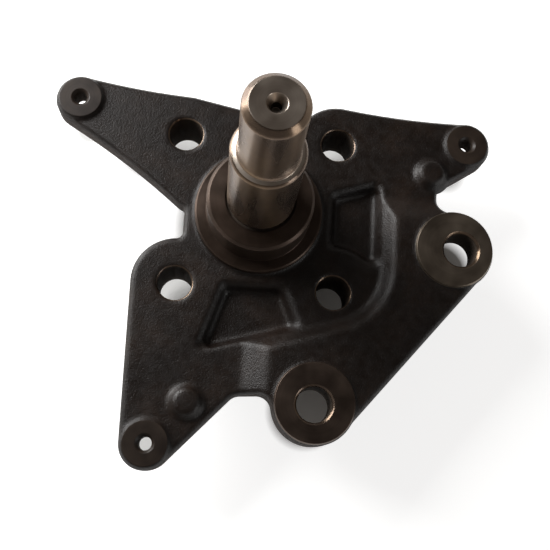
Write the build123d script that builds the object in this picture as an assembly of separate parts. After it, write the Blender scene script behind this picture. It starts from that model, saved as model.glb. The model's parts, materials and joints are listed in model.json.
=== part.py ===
from build123d import *
import os
from math import cos, radians, sin, sqrt, tan

# Steering knuckle: one steel forging with a turned spindle. All sizes in millimetres.
# The origin is on the spindle axis, on the rear mounting face. +Z points out along the spindle.
# X and Y run along the square of the four bolt holes.

# Hub plate
hub_thickness = 22.0
arm_thickness = 9.0
hub_width = 56.8
bridge_radius = 11.0
inner_corner_radius = 5.5
bay_corner_radius = 2.5
forging_edge_break = 1.1
draft = 30.0
spot_inset = 0.4

# Four bolts to the axle beam
bolt_pitch = 60.0
bolt_bore = 13.0
bolt_chamfer = 0.5
bolt_boss_radius = 16.4
lower_left_boss_radius = 17.1
lower_left_boss_shift = (0.5, 0.7)

# Rear pad and pilot
pad_inset = 3.0
pilot_dia = 48.0
pilot_height = 8.0
pilot_chamfer = 1.0

# Spindle, measured outwards from the front face of the hub plate
outer_seat_dia = 20.0
shoulder_width = 2.5
seal_face_width = 7.5
ring_ledge_width = 4.5
ring_height = 3.0
seal_seat_end = 17.3
seal_seat_chamfer = 1.1
inner_seat_end = 62.3
inner_seat_chamfer = 0.8
spindle_end = 96.5
tip_chamfer = 2.0
seat_root = 1.5
seat_root_hollow = 0.3
ring_edge_break = 0.6
relief_width = 1.6
relief_depth = 0.5

# Centre drilling in both ends
centre_mouth_dia = 6.3
centre_pilot_dia = 3.0
centre_pilot_depth = 6.0
centre_half_angle = 30.0

# Three arms that carry the dust shield
arm_tip_radius = 9.6
arm_screw_bore = 5.0
arm_screw_chamfer = 1.0
arm_spot_height = 1.2
arm_face_inset = 1.0
upper_left_tip = (-72.2, 41.9)
lower_left_tip = (-36.0, -89.4)
upper_right_tip = (81.8, 33.8)
arm_root_radius = 6.0
arm_flank_radius = 300
upper_left_root = (-27.5, 6.5)
lower_left_root = (-8.0, -64.6)
hub_crest = (-4.0, 35.5)
hub_crest_radius = 6.0
upper_right_root = (64.0, 17.8)

# Two caliper lugs joined by a raised web
lug_radius = 15.4
lower_lug = (24.0, -72.1)
right_lug = (75.5, -11.0)
lower_lug_bore_at = (23.8, -72.8)
right_lug_bore_at = (77.9, -11.2)
lug_bore = 13.0
lug_bore_chamfer = 0.9
right_neck = (64.0, 0.0)
lug_spot_height = 1.0
lug_face_inset = 0.4
web_height = 4.5
web_half_width = 14.9
web_foot = (24.0, -62.5)
web_step_x = 50.4
web_step_corner_radius = 25.0
web_step_low_end = (-3.6, -53.3)
web_step_slope = 16.0
lower_ramp_foot = -3.2
lower_ramp_brow = 6.5
right_ramp_foot = 9.6
right_ramp_brow = 0.6
ramp_bend_radius = 6.0
web_step_draft = 45.0
web_step_bend_radius = 3.4

# Two recessed panels between the hub and the web
panel_depth = 4.5
panel_corner_radius = 1.2
panel_boss_gap = 1.1
panel_mouth_depth = 1.2
panel_mouth_draft = 55.0
recess_floor_fillet = 2.0
side_panel_corners = [(28.2, 9.6), (60.0, 20.4), (60.0, -22.0), (42.0, -17.0), (27.6, -12.4)]
lower_panel_corners = [
    (-12.0, -28.6),
    (11.4, -28.6),
    (20.0, -49.0),
    (15.0, -60.0),
    (-20.4, -60.0),
    (-20.4, -54.0),
]

# Two raised pads left by the forging die
die_pad_radius = 7.0
die_pad_height = 3.0
die_pad_top_radius = 3.6
die_pad_foot_share = 0.4
lower_die_pad = (-22.4, -74.1)
right_die_pad = (67.3, 20.6)

front = hub_thickness
plate_back = hub_thickness - arm_thickness
lug_top = front + web_height
reach = 200.0
tiny = 0.001
half_pitch = bolt_pitch / 2
bolt_places = [(x, y) for y in (half_pitch, -half_pitch) for x in (-half_pitch, half_pitch)]
upper_left_bolt, upper_right_bolt, lower_left_bolt, lower_right_bolt = bolt_places


def disc(centre, radius):
    return Pos(*centre) * Circle(radius)


def hull(*discs):
    return make_hull([edge for shape in discs for edge in shape.edges()])


def slab(sketch, bottom, top):
    return extrude(Pos(0, 0, bottom) * sketch, top - bottom)


def hollow_flank(near, far, side):
    """One half of an arm between two discs, with a flank that is a shallow arc tangent to both."""
    (near_at, near_radius), (far_at, far_radius) = near, far
    start, end = Vector(*near_at), Vector(*far_at)
    span = (end - start).length
    along = (end - start).normalized()
    across = along.rotate(Axis.Z, 90 * side)
    to_near = arm_flank_radius + near_radius
    to_far = arm_flank_radius + far_radius
    foot = (span**2 + to_near**2 - to_far**2) / (2 * span)
    centre = start + along * foot + across * sqrt(to_near**2 - foot**2)
    touch_near = start + (centre - start).normalized() * near_radius
    touch_far = end + (centre - end).normalized() * far_radius
    middle = centre + ((touch_near + touch_far) / 2 - centre).normalized() * arm_flank_radius
    return make_face(
        [
            Line(start, touch_near),
            ThreePointArc(touch_near, middle, touch_far),
            Line(touch_far, end),
            Line(end, start),
        ]
    )


def rounded_inside(shape, radius):
    """The same shape with its inner corners filled to a radius."""
    return offset(offset(shape, radius), -radius)


def rounded_bay(shape, side_x):
    """Rounds the two inner corners of the bay between the left arms."""
    corners = [spot for spot in shape.vertices() if abs(spot.X - side_x) < tiny]
    return fillet(corners, bay_corner_radius)


def rear_pad_outline():
    """The square of bolt bosses round the hub, drawn inside the plate's plan."""
    boss = bolt_boss_radius - pad_inset
    bridge = bridge_radius - pad_inset
    shape = Rectangle(hub_width - 2 * pad_inset, hub_width - 2 * pad_inset)
    shape += hull(disc(upper_left_bolt, bridge), disc(upper_right_bolt, bridge))
    shape += hull(disc(upper_right_bolt, boss), disc(lower_right_bolt, boss))
    shape += hull(disc(lower_left_bolt, boss), disc(lower_right_bolt, boss))
    shape += disc(upper_left_bolt, boss)
    return rounded_inside(shape, bay_corner_radius)


def plate_outline():
    """The whole plan of the forging: hub, three arms, two lugs and the panels between them."""
    tip = arm_tip_radius
    root = arm_root_radius
    upper_left_boss = disc(upper_left_bolt, bolt_boss_radius)
    upper_right_boss = disc(upper_right_bolt, bolt_boss_radius)
    lower_right_boss = disc(lower_right_bolt, bolt_boss_radius)
    lower_left_boss = Pos(*lower_left_boss_shift) * disc(lower_left_bolt, lower_left_boss_radius)
    upper_left_end = (upper_left_tip, tip)
    upper_left_arm = disc(*upper_left_end) + hull(upper_left_boss, disc(upper_left_root, root))
    upper_left_arm += make_face(Polyline(upper_left_tip, upper_left_bolt, upper_left_root, close=True))
    upper_left_arm += hull(upper_left_boss, disc(hub_crest, hub_crest_radius))
    upper_left_arm += hollow_flank(upper_left_end, (upper_left_bolt, bolt_boss_radius), 1)
    upper_left_arm += hollow_flank(upper_left_end, (upper_left_root, root), -1)
    lower_left_arm = hull(disc(lower_left_tip, tip), lower_left_boss, disc(lower_left_root, root))
    upper_right_end = (upper_right_tip, tip)
    upper_right_arm = upper_right_boss + hull(disc(*upper_right_end), disc(upper_right_root, root))
    upper_right_arm += make_face(Polyline(upper_right_tip, upper_right_bolt, upper_right_root, close=True))
    upper_right_arm += hollow_flank(upper_right_end, (upper_right_bolt, bolt_boss_radius), -1)
    lower_left_bridge = disc(lower_left_bolt, bridge_radius)
    foot = disc(web_foot, root)
    right_panel = hull(upper_right_boss, disc(upper_right_root, root), disc(right_neck, root), foot)
    lower_panel = hull(lower_left_bridge, lower_right_boss, foot, disc(lower_left_root, root))
    web = hull(disc(lower_lug, web_half_width), disc(right_lug, web_half_width))
    lugs = disc(lower_lug, lug_radius) + disc(right_lug, lug_radius)
    bridge = hull(disc(upper_left_bolt, bridge_radius), disc(upper_right_bolt, bridge_radius))
    shape = lower_left_arm + upper_right_arm + right_panel + lower_panel + web + lugs
    shape = rounded_inside(shape + bridge + upper_left_boss, inner_corner_radius)
    shape += upper_left_arm + Rectangle(hub_width, hub_width)
    return rounded_bay(shape, -hub_width / 2)


def step_path(inset):
    """The line of the web's step seen from the front, moved towards the hub by the inset."""
    slope = Vector(cos(radians(web_step_slope)), sin(radians(web_step_slope)))
    inward = Vector(-slope.Y, slope.X)
    side_x = web_step_x - inset
    low = Vector(*web_step_low_end) + inward * inset
    corner = low + slope * ((side_x - low.X) / slope.X)
    return FilletPolyline((side_x, reach), corner, low - slope * reach, radius=web_step_corner_radius - inset)


def inside_step(inset):
    """The area on the hub's side of the step."""
    path = step_path(inset)
    far_side = Polyline(path @ 1, (-reach, reach), path @ 0)
    return make_face(path.edges() + far_side.edges())


def slope_section(brow_at, foot_at, away, bend_radius):
    """Section of the air over a slope from the web's top to the front face, with rounded brow and foot."""
    back = 2 * brow_at - foot_at
    low_side = [(back, lug_top), (brow_at, lug_top), (foot_at, front), (away, front)]
    points = [*low_side, (away, reach), (back, reach)]
    section = make_face(Polyline(*points, close=True))
    bends = [section.vertices().sort_by_distance(spot)[0] for spot in points[1:3]]
    return fillet(bends, bend_radius)


def step_air():
    """The air on the hub's side of the web's step, above the front face."""
    half_run = web_height / 2 * tan(radians(web_step_draft))
    overlap = web_step_corner_radius / 2
    section = slope_section(half_run, -half_run, -1.5 * overlap, web_step_bend_radius)
    path = step_path(0)
    start = Plane(origin=path @ 0, x_dir=(1, 0, 0), z_dir=path % 0)
    return sweep(start * section, path) + slab(inside_step(overlap), front, reach)


def recess(plan):
    """A tapered cutter whose floor lies in the plate, with steep walls and a flared mouth."""
    step_run = web_height / 2 * tan(radians(web_step_draft))
    floor_inset = step_run + panel_depth * tan(radians(draft))
    floor_plan = offset(plan, -panel_depth * tan(radians(draft))) & inside_step(floor_inset)
    floor_plan = offset(offset(floor_plan, -panel_corner_radius), panel_corner_radius)
    cutter = extrude(Pos(0, 0, front - panel_depth) * floor_plan, panel_depth + web_height, taper=-draft)
    cutter = fillet(cutter.faces().sort_by(Axis.Z)[0].edges(), recess_floor_fillet)
    mouth_run = panel_mouth_depth * tan(radians(panel_mouth_draft))
    mouth_plan = offset(plan, -panel_mouth_depth * tan(radians(draft))) & inside_step(step_run + mouth_run)
    mouth_plan = offset(offset(mouth_plan, -panel_corner_radius), panel_corner_radius)
    mouth_plan = Pos(0, 0, front - panel_mouth_depth) * mouth_plan
    return cutter + extrude(mouth_plan, panel_mouth_depth, taper=-panel_mouth_draft)


def broken_rim(body):
    """Breaks every edge round the upright walls, front and back."""
    walls = [face for face in body.faces() if abs(face.normal_at().Z) < tiny]
    edges = ShapeList([edge for face in walls for edge in face.edges()])
    return chamfer(edges.filter_by(lambda edge: abs((edge % 0.5).Z) < 0.9), forging_edge_break)


def plate():
    """The forged body: arms and panels at the front face, the caliper web standing above it."""
    outline = plate_outline()
    body = slab(outline, plate_back, lug_top)
    body -= step_air()
    right_ramp = slope_section(right_ramp_brow, right_ramp_foot, reach, ramp_bend_radius)
    lower_ramp = slope_section(lower_ramp_brow, lower_ramp_foot, -reach, ramp_bend_radius)
    body -= extrude(Plane.YZ * right_ramp, reach, both=True)
    body -= extrude(Plane.XZ * lower_ramp, reach, both=True)
    body = broken_rim(body)
    side_plan = make_face(Polyline(*side_panel_corners, close=True))
    side_plan -= disc(lower_right_bolt, bolt_boss_radius + panel_boss_gap)
    body -= recess(side_plan)
    body -= recess(make_face(Polyline(*lower_panel_corners, close=True)))
    return body


def spindle():
    """The turned spindle on its ring, from the front face of the plate to the tip."""
    outer = outer_seat_dia / 2
    inner = outer + shoulder_width
    seal = inner + seal_face_width
    ring = seal + ring_ledge_width
    seal_z = front + seal_seat_end
    shoulder_z = front + inner_seat_end
    tip_z = front + spindle_end
    root = min(seat_root, 0.9 * (shoulder_width - inner_seat_chamfer))
    half_root = root * seat_root_hollow
    section = make_face(
        Polyline(
            (0, plate_back),
            (ring, plate_back),
            (ring, front + ring_height - ring_edge_break),
            (ring - ring_edge_break, front + ring_height),
            (seal, front + ring_height),
            (seal, seal_z - seal_seat_chamfer),
            (seal - seal_seat_chamfer, seal_z),
            (inner + relief_depth, seal_z),
            (inner + relief_depth, seal_z - relief_depth),
            (inner - relief_depth, seal_z - relief_depth),
            (inner - relief_depth, seal_z + relief_width),
            (inner, seal_z + relief_width + relief_depth),
            (inner, shoulder_z - inner_seat_chamfer),
            (inner - inner_seat_chamfer, shoulder_z),
            (outer + root, shoulder_z),
            (outer + half_root, shoulder_z + half_root),
            (outer, shoulder_z + root),
            (outer, tip_z - tip_chamfer),
            (outer - tip_chamfer, tip_z),
            (0, tip_z),
            close=True,
        )
    )
    return revolve(Plane.XZ * section, Axis.Z)


def die_pad(centre):
    """A low pad with a drafted foot and a domed brow, sunk a little into the arm."""
    slope = (die_pad_radius - die_pad_top_radius) / die_pad_height
    sunk = forging_edge_break
    brow_height = die_pad_height * die_pad_foot_share
    brow_radius = die_pad_radius - slope * brow_height
    brow = Spline(
        (brow_radius, brow_height),
        (die_pad_top_radius, die_pad_height),
        tangents=[(-slope, 1), (-1, 0)],
    )
    foot = Polyline(
        brow @ 1,
        (0, die_pad_height),
        (0, -sunk),
        (die_pad_radius + slope * sunk, -sunk),
        brow @ 0,
    )
    section = make_face([brow, *foot.edges()])
    return Pos(centre[0], centre[1], front) * revolve(Plane.XZ * section, Axis.Z)


def spot_boss(centre, foot_radius, face_radius, carrier_top, height):
    """A round boss that tapers from its carrier to the spot face."""
    sunk = forging_edge_break
    section = make_face(
        Polyline(
            (0, -sunk),
            (foot_radius, -sunk),
            (foot_radius, 0),
            (face_radius, height),
            (0, height),
            close=True,
        )
    )
    return Pos(centre[0], centre[1], carrier_top) * revolve(Plane.XZ * section, Axis.Z)


def through_bore(centre, bore, top, bottom, chamfer_size):
    """A drilled hole with the same chamfer at both mouths."""
    radius = bore / 2
    mouth = radius + chamfer_size
    section = make_face(
        Polyline(
            (0, bottom),
            (mouth, bottom),
            (radius, bottom + chamfer_size),
            (radius, top - chamfer_size),
            (mouth, top),
            (0, top),
            close=True,
        )
    )
    return Pos(centre[0], centre[1], 0) * revolve(Plane.XZ * section, Axis.Z)


def centre_drilling():
    """A centre hole at z = 0 that opens towards +Z."""
    mouth = centre_mouth_dia / 2
    pilot = centre_pilot_dia / 2
    cone_depth = (mouth - pilot) / tan(radians(centre_half_angle))
    section = make_face(
        Polyline(
            (0, 0),
            (mouth, 0),
            (pilot, -cone_depth),
            (pilot, -centre_pilot_depth),
            (0, -centre_pilot_depth),
            close=True,
        )
    )
    return revolve(Plane.XZ * section, Axis.Z)


part = plate() + spindle()
rear_pad = slab(rear_pad_outline(), 0, plate_back)
part += chamfer(rear_pad.edges().group_by(Axis.Z)[0], forging_edge_break)
pilot = slab(disc((0, 0), pilot_dia / 2), -pilot_height, 0)
part += chamfer(pilot.edges().group_by(Axis.Z)[0], pilot_chamfer)
lug_face = lug_top + lug_spot_height
for lug in (lower_lug, right_lug):
    foot_radius = lug_radius - spot_inset
    part += spot_boss(lug, foot_radius, foot_radius - lug_face_inset, lug_top, lug_spot_height)
for tip in (upper_left_tip, lower_left_tip, upper_right_tip):
    foot_radius = arm_tip_radius - spot_inset
    part += spot_boss(tip, foot_radius, foot_radius - arm_face_inset, front, arm_spot_height)
    part -= through_bore(tip, arm_screw_bore, front + arm_spot_height, plate_back, arm_screw_chamfer)
part += die_pad(lower_die_pad)
part += die_pad(right_die_pad)
for place in bolt_places:
    part -= through_bore(place, bolt_bore, front, 0, bolt_chamfer)
for place in (lower_lug_bore_at, right_lug_bore_at):
    part -= through_bore(place, lug_bore, lug_face, plate_back, lug_bore_chamfer)
part -= Pos(0, 0, front + spindle_end) * centre_drilling()
part -= Pos(0, 0, -pilot_height) * Rot(180, 0, 0) * centre_drilling()
print(f"volume {part.volume / 1000:.1f} cm3, valid {part.is_valid}, solids {len(part.solids())}")
os.makedirs("parts", exist_ok=True)
export_step(part, "parts/steering_knuckle.step")
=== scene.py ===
import json
import math

import bpy
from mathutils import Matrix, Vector


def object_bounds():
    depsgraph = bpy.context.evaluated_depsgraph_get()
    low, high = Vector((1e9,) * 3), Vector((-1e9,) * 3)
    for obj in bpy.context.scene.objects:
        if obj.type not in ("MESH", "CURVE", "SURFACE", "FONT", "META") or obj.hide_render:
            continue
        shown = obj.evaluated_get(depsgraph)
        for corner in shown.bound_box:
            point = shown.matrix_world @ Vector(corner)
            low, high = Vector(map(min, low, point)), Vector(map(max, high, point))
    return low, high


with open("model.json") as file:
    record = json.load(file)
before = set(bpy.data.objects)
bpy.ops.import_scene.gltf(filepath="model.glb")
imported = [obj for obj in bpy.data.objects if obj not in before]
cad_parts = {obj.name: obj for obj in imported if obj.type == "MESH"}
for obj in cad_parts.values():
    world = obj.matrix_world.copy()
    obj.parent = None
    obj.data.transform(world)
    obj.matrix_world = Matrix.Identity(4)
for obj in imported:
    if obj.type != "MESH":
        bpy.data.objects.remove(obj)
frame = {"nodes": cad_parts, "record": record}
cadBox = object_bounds()
knuckle = frame["nodes"]["steering_knuckle"]
mounts = {mount["name"]: mount for mount in frame["record"]["mounts"]}
print("frame loaded,", len(knuckle.data.polygons), "faces on the knuckle")

# Blender works in metres: the lengths in this file are in mm unless a note says m
millimetres = 1000
noiseSpread = (0.3, 0.7)  # nearly all values of a noise lie between these


def linear(code):
    # sRGB hex to the linear colour Blender works in
    parts = [int(code[i:i + 2], 16) / 255 for i in (1, 3, 5)]
    return (*[c / 12.92 if c <= 0.04045 else ((c + 0.055) / 1.055) ** 2.4 for c in parts], 1.0)


def addNode(tree, kind, inputs=None, stops=None, **settings):
    # inputs: socket -> plain value or the output that feeds it, stops: (place, hex colour) of a ramp
    node = tree.nodes.new(kind)
    for name, value in settings.items():
        setattr(node, name, value)
    for socket, value in (inputs or {}).items():
        if isinstance(value, bpy.types.NodeSocket):
            tree.links.new(value, node.inputs[socket])
        else:
            node.inputs[socket].default_value = value
    for number, (place, colour) in enumerate(stops or []):
        elements = node.color_ramp.elements
        element = elements[number] if number < 2 else elements.new(place)  # a ramp starts with two
        element.position = place
        element.color = linear(colour)
    return node


def newMaterial(name):
    material = bpy.data.materials.new(name)
    material.use_nodes = True
    material.node_tree.nodes.clear()
    return material, material.node_tree


def fromAbove(tree, place):
    # the same place without its height
    return addNode(tree, "ShaderNodeVectorMath", {0: place, 1: (1, 1, 0)}, operation="MULTIPLY").outputs[0]


def distanceTo(tree, flat, centres):
    # how far in m a place seen from above is from the nearest of some centres
    nearest = None
    for x, y in centres:
        centre = (x / millimetres, y / millimetres, 0)
        apart = addNode(tree, "ShaderNodeVectorMath", {0: flat, 1: centre}, operation="DISTANCE")
        away = apart.outputs["Value"]
        if nearest is not None:
            away = addNode(tree, "ShaderNodeMath", {0: nearest, 1: away}, operation="MINIMUM").outputs[0]
        nearest = away
    return nearest


# hot-forged carbon steel with its oxide scale, shot-blasted and oiled:
# a nearly black brown with a sandy grain, faint lighter rubs and no sharp edge
forged = {
    "deep": "#120b07",
    "middle": "#18100b",
    "light": "#281d16",
    "gloss": 0.4,
    "roughness": 0.41,
    "patch": 16.0,  # width of the darker and lighter patches of scale
    "hollow": 3.0,  # width of the shallow hollows that the dies leave
    "grain": 0.6,  # the blasted grain is about 0.3 mm, finer than a pixel, so it is drawn coarser
    "rounding": 3.0,  # the dies leave every edge and corner softly rounded
}

# the same steel on its flanks, where the flash was sheared off:
# torn, matt and dusty, so nothing mirrors in it
trimmed = {
    "deep": "#1d1511",
    "middle": "#2a201a",
    "light": "#3b2f28",
    "gloss": 0.15,
    "roughness": 0.72,
    "patch": 9.0,
    "hollow": 2.0,
    "grain": 0.8,
    "rounding": 1.0,
}

# what both of these skins share
forgedSkin = {
    "tones": (0.5, 0.7, 0.95),  # where the deep, middle and light colours stand on the ramp
    "grainTint": 0.45,  # how much the grain darkens and lightens the patches
    "polish": 0.07,  # how much smoother than usual the hollows get
    "crust": 0.1,  # and how much rougher
    "hollowDepth": 0.3,
    "hollowStrength": 0.25,
    "grainDepth": 0.2,
    "grainStrength": 0.85,
    "edgeSamples": 16,
}


def forgedSteelScale(name, look):
    material, tree = newMaterial(name)
    place = addNode(tree, "ShaderNodeTexCoord").outputs["Object"]
    patches = addNode(tree, "ShaderNodeTexNoise", {
        "Vector": place, "Scale": millimetres / look["patch"], "Detail": 5.0, "Roughness": 0.6})
    hollows = addNode(tree, "ShaderNodeTexNoise", {
        "Vector": place, "Scale": millimetres / look["hollow"], "Detail": 3.0, "Roughness": 0.55})
    grain = addNode(tree, "ShaderNodeTexNoise", {
        "Vector": place, "Scale": millimetres / look["grain"], "Detail": 2.0, "Roughness": 0.7})
    tone = addNode(tree, "ShaderNodeMath", {
        0: grain.outputs["Fac"],
        1: forgedSkin["grainTint"],
        2: patches.outputs["Fac"]}, operation="MULTIPLY_ADD")
    colours = (look["deep"], look["middle"], look["light"])
    shade = addNode(tree, "ShaderNodeValToRGB", {"Fac": tone.outputs[0]},
                    stops=list(zip(forgedSkin["tones"], colours)))
    rough = addNode(tree, "ShaderNodeMapRange", {
        "Value": hollows.outputs["Fac"],
        "From Min": noiseSpread[0],
        "From Max": noiseSpread[1],
        "To Min": look["roughness"] - forgedSkin["polish"],
        "To Max": look["roughness"] + forgedSkin["crust"]})
    edges = addNode(tree, "ShaderNodeBevel", {"Radius": look["rounding"] / millimetres},
                    samples=forgedSkin["edgeSamples"])
    waves = addNode(tree, "ShaderNodeBump", {
        "Height": hollows.outputs["Fac"],
        "Strength": forgedSkin["hollowStrength"],
        "Distance": forgedSkin["hollowDepth"] / millimetres,
        "Normal": edges.outputs["Normal"]})
    sand = addNode(tree, "ShaderNodeBump", {
        "Height": grain.outputs["Fac"],
        "Strength": forgedSkin["grainStrength"],
        "Distance": forgedSkin["grainDepth"] / millimetres,
        "Normal": waves.outputs["Normal"]})
    shader = addNode(tree, "ShaderNodeBsdfPrincipled", {
        "Base Color": shade.outputs["Color"],
        "Specular IOR Level": look["gloss"],
        "Roughness": rough.outputs[0],
        "Normal": sand.outputs["Normal"]})
    addNode(tree, "ShaderNodeOutputMaterial", {"Surface": shader.outputs[0]})
    return material


# The cut steels: "metal" falls below 1 where a brown film of oil lies on the steel, "line" is the width
# of the tool's marks, drawn coarser than the real 0.05 to 0.2 mm to be seen, "marks" is their strength,
# "stretch" says how far they draw out highlights, and "rounding" is how far the edges were broken.

# bearing seats turned and then ground: shiny steel with streaks of grey and of bronze-coloured oil
ground = {
    "dark": "#655952", "light": "#806c58", "metal": 0.9, "roughness": 0.26, "gloss": 0.5,
    "line": 2.2, "marks": 0.3, "stretch": 0.8, "rounding": 1.2,
}
# collar and ring turned before hardening: smooth dark brown steel, dulled by the heat
collar = {
    "dark": "#3b3028", "light": "#51433a", "metal": 0.7, "roughness": 0.36, "gloss": 0.5,
    "line": 0.6, "marks": 0.06, "stretch": 0.6, "rounding": 0.6,
}
# lug face cut with a flat cutter: dull brown-grey steel with faint rings
lugFace = {
    "dark": "#6b6156", "light": "#82776a", "metal": 1.0, "roughness": 0.42, "gloss": 0.5,
    "line": 0.8, "marks": 0.08, "stretch": 0.0, "rounding": 0.4,
}
# the lower lug's face is cut the same way, drawn browner and darker: a copy with painted shade
shadedLugFace = dict(lugFace, dark="#50453e", light="#62554c")
# tip faces and rear face milled, then rusted and oiled: nearly as dark as the forging, faint rings
milled = {
    "dark": "#1f1712", "light": "#33281f", "metal": 0.0, "roughness": 0.42, "gloss": 0.4,
    "line": 0.8, "marks": 0.2, "stretch": 0.0, "rounding": 0.6,
}
# holes drilled, then black with oil and dust: matt walls with faint rings down the hole; in the groove at
# the seat's foot this dark finish is painted shade
bore = {
    "dark": "#332c26", "light": "#4a4139", "metal": 0.0, "roughness": 0.8, "gloss": 0.1,
    "line": 0.7, "marks": 0.2, "stretch": 0.0, "rounding": 0.3,
}
# spindle end and shoulder faced and countersunk last: clean bright steel
bright = {
    "dark": "#b1a497", "light": "#ccc0b3", "metal": 1.0, "roughness": 0.32, "gloss": 0.5,
    "line": 0.6, "marks": 0.08, "stretch": 0.0, "rounding": 0.5,
}

# what all cut steels share
cutSkin = {
    "tones": (0.4, 0.85),  # where the dark and light colours stand on the ramp
    "stain": 9.1,  # width of an oil stain
    "stainRun": 5.0,  # oil has run along the spindle, so a stain is this many times as long
    "drift": 33.3,  # how far along itself a tool mark keeps its shade
    "lineTint": 0.25,  # how much the tool marks darken and lighten the stains
    "polish": 0.04,  # how much smoother than usual the stains get
    "crust": 0.08,  # and how much rougher
    "markDepth": 0.1,
    "quarterTurn": 0.25,  # draws highlights out across the tool marks
    "edgeSamples": 8,
}


def cutSteel(name, look, centres):
    # tool marks run round the nearest centre: along the height on walls, outwards on faces
    material, tree = newMaterial(name)
    place = addNode(tree, "ShaderNodeTexCoord").outputs["Object"]
    flat = fromAbove(tree, place)
    nearest = distanceTo(tree, flat, centres)
    height = addNode(tree, "ShaderNodeSeparateXYZ", {"Vector": place}).outputs["Z"]
    travel = addNode(tree, "ShaderNodeMath", {0: nearest, 1: height}, operation="ADD")
    passes = addNode(tree, "ShaderNodeMath", {
        0: travel.outputs[0], 1: millimetres / look["line"]}, operation="MULTIPLY")
    along = addNode(tree, "ShaderNodeCombineXYZ", {"Z": passes.outputs[0]})
    perMetre = millimetres / cutSkin["drift"]
    drift = addNode(tree, "ShaderNodeVectorMath", {
        0: flat, 1: (perMetre, perMetre, 0)}, operation="MULTIPLY")
    lay = addNode(tree, "ShaderNodeVectorMath", {0: drift.outputs[0], 1: along.outputs[0]}, operation="ADD")
    lines = addNode(tree, "ShaderNodeTexNoise", {"Vector": lay.outputs[0], "Scale": 1.0, "Detail": 2.0})
    run = addNode(tree, "ShaderNodeVectorMath", {
        0: place, 1: (1, 1, 1 / cutSkin["stainRun"])}, operation="MULTIPLY")
    stains = addNode(tree, "ShaderNodeTexNoise", {
        "Vector": run.outputs[0], "Scale": millimetres / cutSkin["stain"], "Detail": 2.0})
    tone = addNode(tree, "ShaderNodeMath", {
        0: lines.outputs["Fac"],
        1: cutSkin["lineTint"],
        2: stains.outputs["Fac"]}, operation="MULTIPLY_ADD")
    colours = (look["dark"], look["light"])
    shade = addNode(tree, "ShaderNodeValToRGB", {"Fac": tone.outputs[0]},
                    stops=list(zip(cutSkin["tones"], colours)))
    rough = addNode(tree, "ShaderNodeMapRange", {
        "Value": stains.outputs["Fac"],
        "From Min": noiseSpread[0],
        "From Max": noiseSpread[1],
        "To Min": look["roughness"] - cutSkin["polish"],
        "To Max": look["roughness"] + cutSkin["crust"]})
    edges = addNode(tree, "ShaderNodeBevel", {"Radius": look["rounding"] / millimetres},
                    samples=cutSkin["edgeSamples"])
    cut = addNode(tree, "ShaderNodeBump", {
        "Height": lines.outputs["Fac"],
        "Strength": look["marks"],
        "Distance": cutSkin["markDepth"] / millimetres,
        "Normal": edges.outputs["Normal"]})
    shader = addNode(tree, "ShaderNodeBsdfPrincipled", {
        "Base Color": shade.outputs["Color"],
        "Metallic": look["metal"],
        "Roughness": rough.outputs[0],
        "Specular IOR Level": look["gloss"],
        "Anisotropic": look["stretch"],
        "Anisotropic Rotation": cutSkin["quarterTurn"],
        "Normal": cut.outputs["Normal"]})
    if look["stretch"]:
        # the lathe's fine grooves run round the spindle, so highlights are drawn out across them
        around = addNode(tree, "ShaderNodeVectorMath", {0: (0, 0, 1), 1: flat}, operation="CROSS_PRODUCT")
        tree.links.new(around.outputs[0], shader.inputs["Tangent"])
    addNode(tree, "ShaderNodeOutputMaterial", {"Surface": shader.outputs[0]})
    return material


# where the forging was cut, and how a facet tells
machining = {
    "boltChamfer": 0.6,  # a hole's chamfer reaches this far past its wall, seen from above
    "lugBoreChamfer": 1.0,
    "armBoreChamfer": 1.1,
    "centreHoleRadius": 3.2,
    "grooveRadius": 13.05,
    "grooveTop": 41.45,
    "collarRadius": 24.7,
    "collarTop": 39.3,
    "pilotRadius": 24.1,
    "plateFront": 22.0,
    "tipRadius": 10.0,
    "tipFaceHeight": 23.2,
    "lugMiddles": [(24.0, -72.1), (75.5, -11.0)],
    "lugFaceFoot": 26.6,
    "lugDivide": 48.0,  # between the lower lug on its left and the right lug
    "slack": 0.05,  # a facet's middle may lie this far off its face
    "wallTilt": 0.2,  # the height of a facet's normal: below this the facet is a wall
    "flankTilt": 0.3,  # the same for the flanks, which have some draft
    "faceTilt": 0.9,  # above this the facet belongs to a flat face
    "chamferTilt": 0.95,  # a chamfer's normal stays below this
}


def mountPlace(name):
    # where one of the frame's mounts is, seen from above
    return tuple(metres * millimetres for metres in mounts[name]["pos_m"][:2])


boltSquare = mounts["axle_bolts"]["dims"]
acrossBolts = boltSquare["spacing_x_mm"] / 2
upBolts = boltSquare["spacing_y_mm"] / 2
boltPlaces = [(x, y) for y in (upBolts, -upBolts) for x in (-acrossBolts, acrossBolts)]
lugBores = [mountPlace("lower_lug_bore"), mountPlace("right_lug_bore")]
armTips = [mountPlace(corner + "_shield_hole") for corner in ("upper_left", "lower_left", "upper_right")]
axis = [(0, 0)]
everyBoss = machining["lugMiddles"] + armTips + axis
everyHole = boltPlaces + lugBores + armTips + axis
boltReach = boltSquare["hole_r_mm"] + machining["boltChamfer"]
lugBoreReach = mounts["lower_lug_bore"]["dims"]["r_mm"] + machining["lugBoreChamfer"]
armBoreReach = mounts["upper_left_shield_hole"]["dims"]["r_mm"] + machining["armBoreChamfer"]


def within(spot, places, reach):
    return any(math.hypot(spot.x - x, spot.y - y) < reach for x, y in places)


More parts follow.
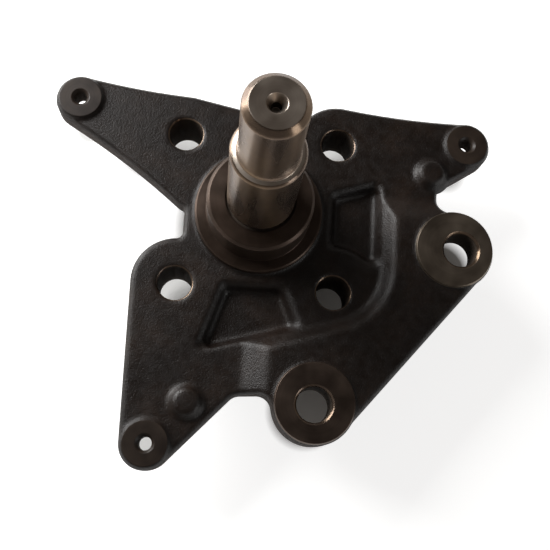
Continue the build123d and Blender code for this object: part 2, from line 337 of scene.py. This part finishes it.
def finishOf(spot, facing):
    # which finish a facet of the solid has, from where its middle is and which way it looks
    outward = math.hypot(spot.x, spot.y)
    tilt = abs(facing.z)
    slanted = machining["wallTilt"] < tilt < machining["chamferTilt"]
    if within(spot, armTips, armBoreReach):
        return "milled" if slanted else "bore"
    if within(spot, boltPlaces, boltReach) or within(spot, lugBores, lugBoreReach):
        return "ground" if slanted else "bore"
    if outward < machining["centreHoleRadius"] and tilt < machining["chamferTilt"]:
        return "bright" if slanted else "bore"
    if outward < machining["collarRadius"] and spot.z > machining["plateFront"] + machining["slack"]:
        if outward < machining["grooveRadius"] and spot.z < machining["grooveTop"]:
            return "bore"  # the dark matt bore finish in the groove at the foot of the seat is painted shade
        if spot.z < machining["collarTop"] + machining["slack"]:
            return "collar"
        return "bright" if facing.z > machining["faceTilt"] else "ground"
    if spot.z > machining["lugFaceFoot"]:
        # the lower lug's face gets the darker copy, painted shade
        return "shadedLugFace" if spot.x < machining["lugDivide"] else "lugFace"
    tipFace = machining["tipFaceHeight"] - machining["slack"]
    if spot.z > tipFace and within(spot, armTips, machining["tipRadius"]):
        return "milled"
    onRearFace = facing.z < -machining["faceTilt"] or outward < machining["pilotRadius"]
    if spot.z < machining["slack"] and onRearFace:
        return "milled"
    return "trimmed" if tilt < machining["flankTilt"] and spot.z < machining["plateFront"] else "forged"


finishes = {
    "forged": forgedSteelScale("forged_steel_scale", forged),
    "trimmed": forgedSteelScale("trimmed_steel_flank", trimmed),
    "ground": cutSteel("ground_steel_seat", ground, axis),
    "collar": cutSteel("turned_steel_collar", collar, axis),
    "lugFace": cutSteel("spot_faced_steel", lugFace, everyBoss),
    "shadedLugFace": cutSteel("spot_faced_steel_painted_shade", shadedLugFace, everyBoss),
    "milled": cutSteel("milled_dark_steel", milled, everyBoss),
    "bore": cutSteel("drilled_oiled_steel_and_groove_shade", bore, everyHole),
    "bright": cutSteel("countersunk_bright_steel", bright, everyHole),
}
order = list(finishes)
knuckle.data.materials.clear()
for finish in order:
    knuckle.data.materials.append(finishes[finish])
counted = dict.fromkeys(order, 0)
for face in knuckle.data.polygons:
    finish = finishOf(face.center * millimetres, face.normal)
    face.material_index = order.index(finish)
    counted[finish] += 1
print("finishes set:", counted)

# a wide white card: it glows to the eye and in reflections, so it comes out white, apart from
# discs of painted shade under the plate, where the glow is taken away, which show it grey to black through
# the holes
whiteCard = {
    "side": 6.0,  # in m
    "colour": "#efefed",
    "openGlow": 0.8,
    "paintedShadeEdge": 5.0,
    # the painted shade discs' middles and how far they reach
    "shade": [
        ([(0, 0), (-2, -14), (16, -14), (26, -36)], 30),
        (boltPlaces + lugBores + [(-34, -58), (-46, 36), (56, 28), (52, -16), (50, 4), (50, -38)], 11),
        (armTips + [(-60, 39), (-36, -76)], 5),
    ],
}


def paleFloor():
    half = whiteCard["side"] / 2
    height = cadBox[0].z
    corners = [(-half, -half, height), (half, -half, height), (half, half, height), (-half, half, height)]
    mesh = bpy.data.meshes.new("floor")
    mesh.from_pydata(corners, [], [(0, 1, 2, 3)])
    floor = bpy.data.objects.new("floor", mesh)
    bpy.context.scene.collection.objects.link(floor)
    material, tree = newMaterial("white_card")
    rays = addNode(tree, "ShaderNodeLightPath")
    direct = addNode(tree, "ShaderNodeMath", {
        0: rays.outputs["Is Camera Ray"], 1: rays.outputs["Is Glossy Ray"]}, operation="ADD")
    looked = addNode(tree, "ShaderNodeMath", {
        0: direct.outputs[0], 1: rays.outputs["Is Transmission Ray"]}, operation="ADD", use_clamp=True)
    place = addNode(tree, "ShaderNodeTexCoord").outputs["Object"]
    flat = fromAbove(tree, place)
    strength = whiteCard["openGlow"]
    # each group of discs takes the glow away near its middles: painted shade on the card
    for middles, reach in whiteCard["shade"]:
        strength = addNode(tree, "ShaderNodeMapRange", {
            "Value": distanceTo(tree, flat, middles),
            "From Min": reach / millimetres,
            "From Max": (reach + whiteCard["paintedShadeEdge"]) / millimetres,
            "To Max": strength}).outputs[0]
    lift = addNode(tree, "ShaderNodeMath", {0: looked.outputs[0], 1: strength}, operation="MULTIPLY")
    card = addNode(tree, "ShaderNodeBsdfDiffuse", {"Color": linear(whiteCard["colour"])})
    glow = addNode(tree, "ShaderNodeEmission", {"Color": (1, 1, 1, 1), "Strength": lift.outputs[0]})
    both = addNode(tree, "ShaderNodeAddShader", {0: card.outputs[0], 1: glow.outputs[0]})
    addNode(tree, "ShaderNodeOutputMaterial", {"Surface": both.outputs[0]})
    mesh.materials.append(material)


# pale walls under a greyer ceiling, which is at its full grey this share of the way up
room = {
    "walls": "#b6b2ae",
    "ceiling": "#4a4643",
    "ceilingStart": 0.55,
}


def softRoom():
    world = bpy.data.worlds.new("soft_room")
    world.use_nodes = True
    tree = world.node_tree
    tree.nodes.clear()
    direction = addNode(tree, "ShaderNodeTexCoord").outputs["Generated"]
    height = addNode(tree, "ShaderNodeSeparateXYZ", {"Vector": direction})
    sky = addNode(tree, "ShaderNodeValToRGB", {"Fac": height.outputs["Z"]},
                  stops=[(0.0, room["walls"]), (room["ceilingStart"], room["ceiling"])])
    light = addNode(tree, "ShaderNodeBackground", {"Color": sky.outputs["Color"], "Strength": 1.0})
    addNode(tree, "ShaderNodeOutputWorld", {"Surface": light.outputs[0]})
    bpy.context.scene.world = world


# distance and side in m, power in W
lamps = {
    # a window at the upper left, where the bright rims are
    "window": {
        "towards": (-0.75, 0.52, 0.5), "distance": 0.6, "side": 0.4, "power": 5.8, "onlyMirrored": False,
    },
    # a card at the lower right, which only draws the second streak along the spindle
    "card": {
        "towards": (0.8, -0.5, 0.45), "distance": 0.8, "side": 0.25, "power": 1.0, "onlyMirrored": True,
    },
}


def softLamp(name, look):
    light = bpy.data.lights.new(name, "AREA")
    light.shape = "SQUARE"
    light.size = look["side"]
    light.energy = look["power"]
    lamp = bpy.data.objects.new(name, light)
    toLamp = Vector(look["towards"]).normalized()
    lamp.location = toLamp * look["distance"]
    lamp.rotation_euler = toLamp.to_track_quat("Z", "Y").to_euler()
    lamp.visible_diffuse = not look["onlyMirrored"]
    bpy.context.scene.collection.objects.link(lamp)


# where the photograph was taken from, worked out from the spindle's circles and the bolt square
photoView = {
    "lens": 54.06,
    "sensor": 36.0,
    "nearest": 0.01,  # in m
    "place": (-0.01093, -0.09956, 0.32557),  # in m
    "turn": (13.681, -4.176, 2.785),  # in degrees
}


def photoCamera():
    lens = bpy.data.cameras.new("photo_camera")
    lens.lens = photoView["lens"]
    lens.sensor_width = photoView["sensor"]
    lens.clip_start = photoView["nearest"]
    camera = bpy.data.objects.new("photo_camera", lens)
    camera.location = photoView["place"]
    camera.rotation_euler = [math.radians(turn) for turn in photoView["turn"]]
    bpy.context.scene.collection.objects.link(camera)
    bpy.context.scene.camera = camera


paleFloor()
softRoom()
for name, look in lamps.items():
    softLamp(name, look)
photoCamera()
bpy.context.scene.view_settings.view_transform = "Standard"
print("floor, room, window light and camera ready")
